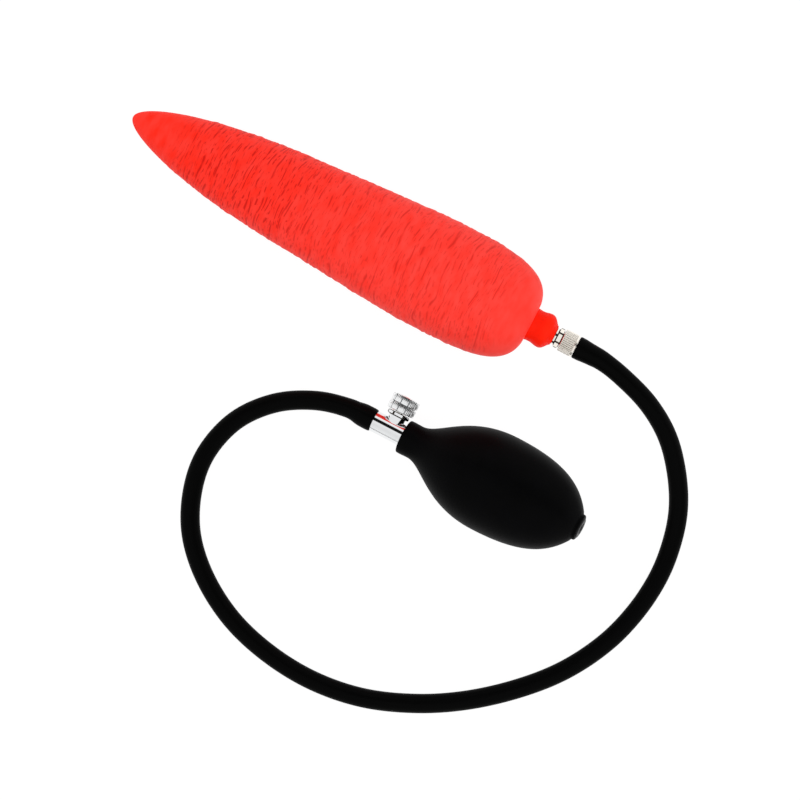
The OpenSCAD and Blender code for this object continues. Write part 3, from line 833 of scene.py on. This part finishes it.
def make_nut():
    """Knurled union nut with a plain bright rim at the hose end."""
    start = BLADDER_LENGTH + NECK_LENGTH + FLANGE_LENGTH + HEX_LENGTH + NUT_GAP
    length, r = NUT_LENGTH, NUT_R
    knurl = length - RIM_LENGTH
    place = shifted(on_bladder, start)
    thread = THREAD_R + 0.05
    inside = [(length, TAIL_R), (length - LIP_LENGTH, TAIL_R), (length - LIP_LENGTH, thread), (0, thread)]
    outside = [(0, r - 0.55), (0.15, r - 0.4), (knurl, r - 0.4), (knurl, r - 0.1), (knurl + 0.12, r),
               (length - 0.3, r), (length - 0.05, r - 0.15), (length, r - 0.4)]
    verts, faces = round_part(outside + inside, place, 136)
    piece = finished("knurled_nut", verts, faces, nickel, sharp=30)
    # The barrel between the ribs takes the dark nickel: painted shade in the knurl's root
    paint_dark_faces(piece, shade_and_reflection_nickel, place, 0.1, knurl, r - 0.3)
    baked(piece, rib_group(), Ribs=NUT_RIBS, Barrel_Radius=(r - RIB_R) * MM, Rib_Radius=RIB_R * MM,
          Rib_Length=(knurl - 0.25) * MM, Along=(knurl + 0.1) / 2 * MM, Turn=tuple(place.to_euler()),
          Place=tuple(place.translation), Metal=nickel, Recess=shade_and_reflection_nickel)
    piece.data.shade_smooth()
    piece.data.set_sharp_from_angle(angle=math.radians(40))
    belongs(piece, "coupling_nut", "nickel", "coupling_nut")


def make_valve():
    """Polished body of the valve, with its barb, its bore and the boss that takes the gland nut."""
    front, rear, r = VALVE_FRONT, VALVE_REAR, VALVE_R
    bore, start = AIR_BORE_R, front - HOSE_BARB_LENGTH
    barb = [(start, bore), (start, VALVE_BARB_R - 0.5), (start + 0.5, VALVE_BARB_R), (front, VALVE_BARB_R)]
    shell = [(front, r - 0.3), (front + 0.1, r - 0.12), (front + 0.3, r), (rear - 0.2, r), (rear, r - 0.2),
             (rear, CHECK_BORE_R), (CHECK_BORE_START, CHECK_BORE_R), (CHECK_BORE_START, bore)]
    body = round_part(barb + shell, on_pump, 160)
    top, side = SIDE_BOSS_TOP, SIDE_BOSS_R
    boss = round_part([(0, SEAT_R), (0, side), (top - 0.2, side), (top, side - 0.2), (top, SEAL_BORE_R),
                       (SEAL_FLOOR, SEAL_BORE_R), (SEAL_FLOOR, STEM_R + FIT), (STEM_SEAT, STEM_R + FIT),
                       (STEM_SEAT, SEAT_R)], on_knob)
    verts, faces = joined(body, boss)
    piece = finished("valve_shell", verts, faces, chrome, sharp=30)
    belongs(piece, "pump", "chrome", "valve_body")


def make_gland():
    """Hex nut under the knob, with painted dark reflections on its ends and corners."""
    place = shifted(on_knob, SIDE_BOSS_TOP)
    verts, faces = hex_block(place, GLAND_HEX_R, 0.7, GLAND_LENGTH, STEM_R + 0.05, turn=math.pi / 6)
    piece = finished("gland_hex", verts, faces, chrome, sharp=30)
    hex_reach = GLAND_HEX_R + 2.5
    # The nut's ends and corners take the dark nickel: painted dark reflections
    paint_dark_faces(piece, shade_and_reflection_nickel, place, -0.1, 0.3, hex_reach)
    paint_dark_faces(piece, shade_and_reflection_nickel, place, GLAND_LENGTH - 0.3, GLAND_LENGTH + 0.1, hex_reach)
    paint_dark_faces(piece, shade_and_reflection_nickel, place, 0, GLAND_LENGTH, hex_reach, corner=5, turn=30)
    belongs(piece, "pump", "chrome", "gland_nut")


def pad_group():
    """Two rows of ribbed finger pads round the release knob."""
    group, given = node_group("knob_pads", Pads="Int", Rows="Int", Pad_Width="Float", Pad_Length="Float",
                              Pad_Depth="Float", Knob_Radius="Float", First_Row="Float", Row_Pitch="Float",
                              Ribs="Float", Rib_Depth="Float", Turn="Rotation", Place="Vector",
                              Metal="Material", Recess="Material")
    size = add(group, "ShaderNodeCombineXYZ", (given["Pad_Depth"], given["Pad_Width"], given["Pad_Length"]))
    slab = add(group, "GeometryNodeMeshCube", (size, 2, 33, 5))
    at = add(group, "ShaderNodeSeparateXYZ", [add(group, "GeometryNodeInputPosition")]).outputs
    # The outer face is ribbed, and falls by drop over a width of edge at its rim
    edge, drop = 0.12 * MM, 0.15 * MM
    outside = add(group, MATH, (at["X"], 0.0), operation="GREATER_THAN")
    across = add(group, MATH, (at["Y"], given["Pad_Width"]), operation="DIVIDE")
    turns = add(group, MATH, (across, given["Ribs"]), operation="MULTIPLY")
    swing = add(group, MATH, (turns, 2 * math.pi), operation="MULTIPLY")
    wave = add(group, MATH, [swing], operation="COSINE")
    rib = add(group, MATH, (wave, given["Rib_Depth"]), operation="MULTIPLY")
    inset = []
    for full, axis in ((given["Pad_Length"], "Z"), (given["Pad_Width"], "Y")):
        half = add(group, MATH, (full, 2.0), operation="DIVIDE")
        off = add(group, MATH, [at[axis]], operation="ABSOLUTE")
        inset.append(add(group, MATH, (half, off), operation="SUBTRACT"))
    nearest = add(group, MATH, inset, operation="MINIMUM")
    share = add(group, MATH, (nearest, edge), operation="DIVIDE")
    soften = add(group, MATH, (share, 1.0), operation="MINIMUM")
    missing = add(group, MATH, (soften, 1.0), operation="SUBTRACT")
    ribbed = add(group, MATH, (rib, soften), operation="MULTIPLY")
    rise = add(group, MATH, (missing, drop, ribbed), operation="MULTIPLY_ADD")
    lift = add(group, MATH, (outside, rise), operation="MULTIPLY")
    # Bent round the knob
    half_depth = add(group, MATH, (given["Pad_Depth"], 2.0), operation="DIVIDE")
    bed = add(group, MATH, (given["Knob_Radius"], half_depth), operation="SUBTRACT")
    flat_reach = add(group, MATH, (bed, at["X"]), operation="ADD")
    reach = add(group, MATH, (flat_reach, lift), operation="ADD")
    angle = add(group, MATH, (at["Y"], given["Knob_Radius"]), operation="DIVIDE")
    bent = add(group, "ShaderNodeCombineXYZ", [
        add(group, MATH, (reach, add(group, MATH, [angle], operation=wave)), operation="MULTIPLY")
        for wave in ("COSINE", "SINE")] + [at["Z"]])
    pad = add(group, "GeometryNodeSetPosition", {"Geometry": slab, "Position": bent})
    # Set out in rows
    count = add(group, MATH, (given["Pads"], given["Rows"]), operation="MULTIPLY")
    spots = add(group, "GeometryNodeMeshLine", {"Count": count, "Offset": (0, 0, 0)})
    number = add(group, "GeometryNodeInputIndex")
    counted = add(group, MATH, (number, 0.5), operation="ADD")
    rows_done = add(group, MATH, (counted, given["Pads"]), operation="DIVIDE")
    row = add(group, MATH, [rows_done], operation="FLOOR")
    height = add(group, MATH, (row, given["Row_Pitch"], given["First_Row"]), operation="MULTIPLY_ADD")
    up = add(group, "ShaderNodeCombineXYZ", {"Z": height})
    raised = add(group, "GeometryNodeSetPosition", {"Geometry": spots, "Offset": up})
    circles = add(group, MATH, (number, 2 * math.pi), operation="MULTIPLY")
    round_by = add(group, MATH, (circles, given["Pads"]), operation="DIVIDE")
    facing = add(group, "ShaderNodeCombineXYZ", {"Z": round_by})
    many = add(group, "GeometryNodeInstanceOnPoints", {"Points": raised, "Instance": pad, "Rotation": facing})
    put = add(group, "GeometryNodeTransform", {"Geometry": many, "Rotation": given["Turn"],
                                               "Translation": given["Place"]})
    return plated_but_painted_shade(group, given, put.outputs[0])


def make_knob():
    """Release knob: a turned core with a groove between its two rows of pads and a chamfered top."""
    place = shifted(on_knob, KNOB_BASE)
    r, height = KNOB_R, KNOB_HEIGHT
    core = r - PAD_RISE
    bore, bore_depth = STEM_R + 0.03, 7.5
    outline = [(0, bore), (0, core - 0.5), (0.25, core - 0.1), (0.5, core), (height / 2 - 0.3, core),
               (height / 2 - 0.2, core - 0.25), (height / 2 + 0.2, core - 0.25), (height / 2 + 0.3, core),
               (height - 0.75, core), (height - 0.6, core + 0.02), (height - 0.1, core - 0.65),
               (height, core - 0.85), (height, 4.2), (height - 0.15, 4.05), (height - 0.15, 0)]
    verts, faces = joined(lathe_parts(outline, place, 132),
                          lathe_parts([(0, bore), (bore_depth, bore), (bore_depth, 0)], place, 132))
    piece = finished("release_knob_skin", verts, faces, satin_chrome, sharp=30)
    # The core between and under the pads takes the dark chrome: painted shade
    paint_dark_faces(piece, painted_shade_chrome, place, 0.3, height - 0.65, core + 0.05)
    baked(piece, pad_group(), Pads=KNOB_PADS, Rows=2, Pad_Width=3.5 * MM, Pad_Length=3.6 * MM,
          Pad_Depth=0.9 * MM, Knob_Radius=r * MM, First_Row=2.2 * MM, Row_Pitch=3.95 * MM, Ribs=4.0,
          Rib_Depth=0.08 * MM, Turn=tuple(place.to_euler()), Place=tuple(place.translation),
          Metal=satin_chrome, Recess=painted_shade_chrome)
    piece.data.shade_smooth()
    piece.data.set_sharp_from_angle(angle=math.radians(30))
    belongs(piece, "release_knob", "chrome", "release_knob")


def make_inlet():
    """Moulded air inlet pressed into the bulb's boss, with its port in the middle."""
    end = BOSS_END + 0.5
    bed, bore, flange = BOSS_END + FIT, 2.7, INLET_FLANGE_R
    outline = [(HOUSING_START, bore), (HOUSING_START, HOUSING_R), (bed, HOUSING_R), (bed, flange),
               (end - 0.2, flange), (end - 0.05, flange - 0.06), (end, flange - 0.2), (end, 2.9),
               (end - 0.35, 2.6), (end - 0.35, PORT_R + 0.2), (end - 0.5, PORT_R), (PORT_START, PORT_R),
               (PORT_START, bore)]
    verts, faces = round_part(outline, on_pump)
    piece = finished("inlet_plug", verts, faces, nylon, sharp=30)
    belongs(piece, "pump", "black_plastic", "inlet_housing")


def make_spring():
    """Coil spring of the one-way valve, built at rest; it would shorten against its seat as the ball lifts
    off.
    """
    steps, sides = 20, 8
    first = CHECK_BORE_START + SPRING_WIRE_R + FIT
    travel = SPRING_END - first
    slope = travel / (2 * math.pi * SPRING_TURNS)
    verts = []
    for i in range(SPRING_TURNS * steps + 1):
        angle = 2 * math.pi * i / steps
        out = Vector((math.cos(angle), math.sin(angle), 0))
        ahead = Vector((-SPRING_COIL_R * out.y, SPRING_COIL_R * out.x, slope)).normalized()
        centre = SPRING_COIL_R * out + Vector((0, 0, first + travel * i / (SPRING_TURNS * steps)))
        for k in range(sides):
            turn = 2 * math.pi * k / sides
            spot = centre + SPRING_WIRE_R * (math.cos(turn) * out + math.sin(turn) * ahead.cross(out))
            verts.append(on_pump @ (spot * MM))
    last = SPRING_TURNS * steps * sides
    faces = [(i + k, i + (k + 1) % sides, i + sides + (k + 1) % sides, i + sides + k)
             for i in range(0, last, sides) for k in range(sides)]
    faces += [tuple(range(sides)), tuple(range(last, last + sides))]
    piece = finished("valve_spring", verts, faces, steel)
    belongs(piece, "pump", "steel", "check_spring")
    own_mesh(piece)


make_fitting()
make_spring()
make_nut()
make_valve()
make_gland()
make_knob()
make_inlet()

# Small parts inside that keep the shape of their solids
CARRIED_OVER = {
    nickel: ["hose_tail", "gland_washer", "release_stem", "check_seat"],
    steel: ["snap_ring", "check_ball", "inlet_ball"],
    nylon: ["inlet_cage"],
    bulb_rubber: ["coupling_seal", "stem_seal"],
}
for material, nodes in CARRIED_OVER.items():
    for name in nodes:
        for seat in frame["nodes"][name].material_slots:
            seat.material = material

# ---- studio ---------------------------------------------------------------------------------------

# How bright the room is that metal mirrors, by the angle round the X axis as a share of a whole turn
SIDE_GREY = 0.8
ROOM_GREYS = [(0.25, 0.4), (0.27, 0.95), (0.4, 0.84), (0.508, 0.95), (0.514, 0.008), (0.602, 0.008),
              (0.61, 1.0), (0.75, 1.0)]
SKY_STRENGTH = 0.75
TABLE_GLOW = 0.95

# Name, place and size in metres, and power in watts of each lamp; all aim at one spot on the table
LAMPS = [
    ("key", (-0.75, 0.35, 0.9), 0.5, 3.0),
    ("fill", (0.8, -0.2, 0.7), 0.8, 3.0),
    ("top", (0.1, 0.0, 1.5), 1.0, 1.5),
]
LAMP_AIM = (0.03, -0.03, 0)


def make_studio():
    """World, table and lamps."""
    scene = bpy.context.scene
    scene.view_settings.view_transform = "Standard"
    world = bpy.data.worlds.new("studio")
    scene.world = world
    world.use_nodes = True
    tree = world.node_tree
    tree.nodes.clear()
    # Polished metal sees a pale room with one dark strip overhead, beside a bright one
    generated = add(tree, "ShaderNodeTexCoord").outputs["Generated"]
    aim = add(tree, "ShaderNodeSeparateXYZ", [generated]).outputs
    swing = add(tree, MATH, (aim["Y"], aim["Z"]), operation="ARCTAN2")
    part = add(tree, RANGE, (swing, -math.pi, math.pi))
    ramp = add(tree, "ShaderNodeValToRGB", [part])
    stops = ramp.color_ramp.elements
    for stop in stops:
        stop.color = (SIDE_GREY, SIDE_GREY, SIDE_GREY, 1)
    for position, grey in ROOM_GREYS:
        stops.new(position).color = (grey, grey, grey, 1)
    white = (1, 1, 1, 1)
    seen = add(tree, "ShaderNodeLightPath").outputs
    room = add(tree, "ShaderNodeBackground", {"Color": ramp, "Strength": 1.0})
    plain = add(tree, "ShaderNodeBackground", {"Color": white, "Strength": SKY_STRENGTH})
    behind = add(tree, "ShaderNodeBackground", {"Color": white, "Strength": 1.0})
    lit = add(tree, "ShaderNodeMixShader", (seen["Is Glossy Ray"], plain, room))
    mixed = add(tree, "ShaderNodeMixShader", (seen["Is Camera Ray"], lit, behind))
    add(tree, "ShaderNodeOutputWorld", {"Surface": mixed})
    # The table glows, as an overlit white sweep does, so that shadows on it stay faint
    material, tree, bsdf, where = finish("pale_sweep", Roughness=0.9, Specular_IOR_Level=0.1,
                                         Emission_Color=white, Emission_Strength=TABLE_GLOW)
    cloud = add(tree, "ShaderNodeTexNoise", {"Vector": where, "Scale": 1 / (40 * MM)})
    tone = add(tree, "ShaderNodeMix", {0: cloud, 6: colour("505050"), 7: colour("545454")},
               data_type="RGBA").outputs[2]
    link(tree, tone, bsdf, "Base Color")
    mesh = bpy.data.meshes.new("floor")
    wide = 12.0
    corners = [(-wide, -wide, 0), (wide, -wide, 0), (wide, wide, 0), (-wide, wide, 0)]
    mesh.from_pydata(corners, [], [(0, 1, 2, 3)])
    mesh.materials.append(material)
    floor = bpy.data.objects.new("floor", mesh)
    floor.location.z = -0.1 * MM
    scene.collection.objects.link(floor)
    for name, spot, size, power in LAMPS:
        light = bpy.data.lights.new(name, "AREA")
        light.size = size
        light.energy = power
        lamp = bpy.data.objects.new(name, light)
        lamp.location = spot
        lamp.rotation_euler = (Vector(LAMP_AIM) - Vector(spot)).to_track_quat("-Z", "Y").to_euler()
        lamp.visible_glossy = False
        lamp.visible_camera = False
        scene.collection.objects.link(lamp)


make_studio()
